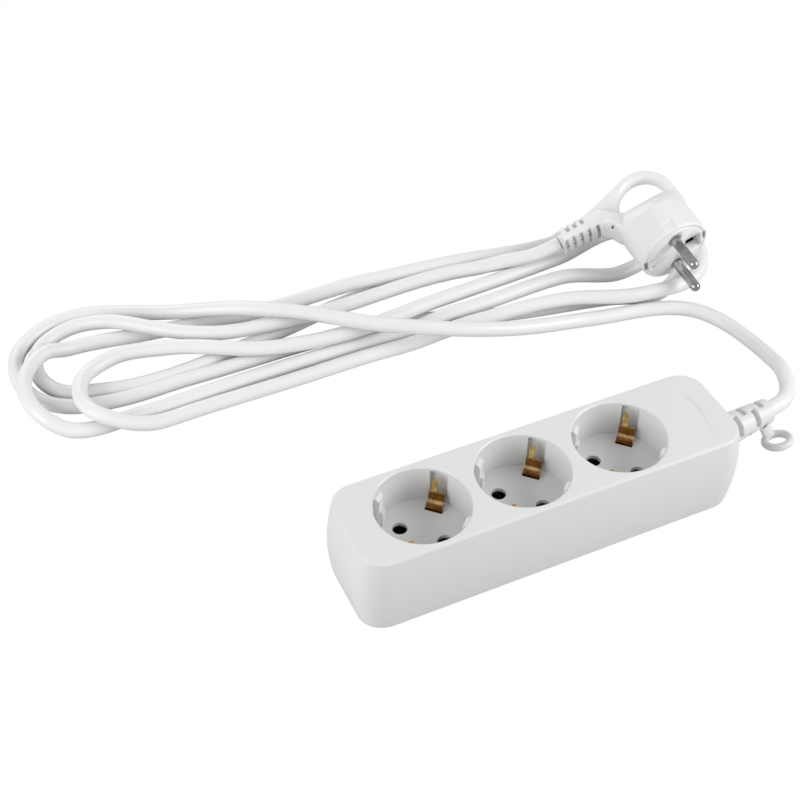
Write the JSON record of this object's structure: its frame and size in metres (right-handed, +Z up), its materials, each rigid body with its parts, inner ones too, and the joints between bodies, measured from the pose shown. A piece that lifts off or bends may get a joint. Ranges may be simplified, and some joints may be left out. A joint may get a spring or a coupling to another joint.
{
  "type": "extension cord",
  "caption": "Earthed socket strip with a row of round recessed sockets, a loosely looped flexible cord and a side-entry plug with a pulling ring.",
  "frame": {"origin": "middle of the socket strip's footprint, on the floor", "axes": "+X along the strip to its cord end, +Y across the strip towards the looped cord, +Z up"},
  "size_m": [0.338, 0.2345, 0.0512],
  "materials": {
    "shell_white": "moulded, satin gloss",
    "cord_pvc": "soft PVC sheath",
    "brass": "bright stamped brass",
    "nickel": "nickel plated",
    "steel": "zinc plated",
    "core_brown": "PVC insulation",
    "core_blue": "PVC insulation",
    "core_green": "PVC insulation"
  },
  "bodies": {
    "root": {"top_cover": "shell_white", "socket_well_1": "shell_white", "socket_well_2": "shell_white", "socket_well_3": "shell_white", "bottom_cover": "shell_white", "cable_clamp": "shell_white", "strip_boot": "shell_white", "plug_body": "shell_white", "plug_bridge": "shell_white", "cord": "cord_pvc", "cord_tail": "cord_pvc", "plug_cord_end": "cord_pvc", "line_bar": "brass", "neutral_bar": "brass", "line_contact_1": "brass", "line_contact_2": "brass", "line_contact_3": "brass", "neutral_contact_1": "brass", "neutral_contact_2": "brass", "neutral_contact_3": "brass", "earth_rail": "brass", "earth_bow_1": "brass", "earth_bow_2": "brass", "earth_bow_3": "brass", "plug_line_pin": "nickel", "plug_neutral_pin": "nickel", "earth_rivets": "nickel", "plug_earth_strap": "nickel", "cover_screws": "steel", "terminal_screws": "steel", "clamp_screws": "steel", "line_core": "core_brown", "plug_line_core": "core_brown", "neutral_core": "core_blue", "plug_neutral_core": "core_blue", "earth_core": "core_green", "plug_earth_core": "core_green"},
    "spring_1a": {"earth_spring_1a": "brass"},
    "spring_1b": {"earth_spring_1b": "brass"},
    "spring_2a": {"earth_spring_2a": "brass"},
    "spring_2b": {"earth_spring_2b": "brass"},
    "spring_3a": {"earth_spring_3a": "brass"},
    "spring_3b": {"earth_spring_3b": "brass"}
  },
  "joints": [
    {"name": "spring_1a_flex", "type": "hinge", "parent": "root", "child": "spring_1a", "pos_m": [-0.0421, 0.0099, 0.0196], "axis": [-0.7071, 0.7071, 0], "range_deg": [0, 3], "stiffness_Nm_per_rad": 0.5},
    {"name": "spring_1b_flex", "type": "hinge", "parent": "root", "child": "spring_1b", "pos_m": [-0.0619, -0.0099, 0.0196], "axis": [0.7071, -0.7071, 0], "range_deg": [0, 3], "stiffness_Nm_per_rad": 0.5},
    {"name": "spring_2a_flex", "type": "hinge", "parent": "root", "child": "spring_2a", "pos_m": [0.0024, 0.0099, 0.0196], "axis": [-0.7071, 0.7071, 0], "range_deg": [0, 3], "stiffness_Nm_per_rad": 0.5},
    {"name": "spring_2b_flex", "type": "hinge", "parent": "root", "child": "spring_2b", "pos_m": [-0.0174, -0.0099, 0.0196], "axis": [0.7071, -0.7071, 0], "range_deg": [0, 3], "stiffness_Nm_per_rad": 0.5},
    {"name": "spring_3a_flex", "type": "hinge", "parent": "root", "child": "spring_3a", "pos_m": [0.0469, 0.0099, 0.0196], "axis": [-0.7071, 0.7071, 0], "range_deg": [0, 3], "stiffness_Nm_per_rad": 0.5},
    {"name": "spring_3b_flex", "type": "hinge", "parent": "root", "child": "spring_3b", "pos_m": [0.0271, -0.0099, 0.0196], "axis": [0.7071, -0.7071, 0], "range_deg": [0, 3], "stiffness_Nm_per_rad": 0.5}
  ]
}
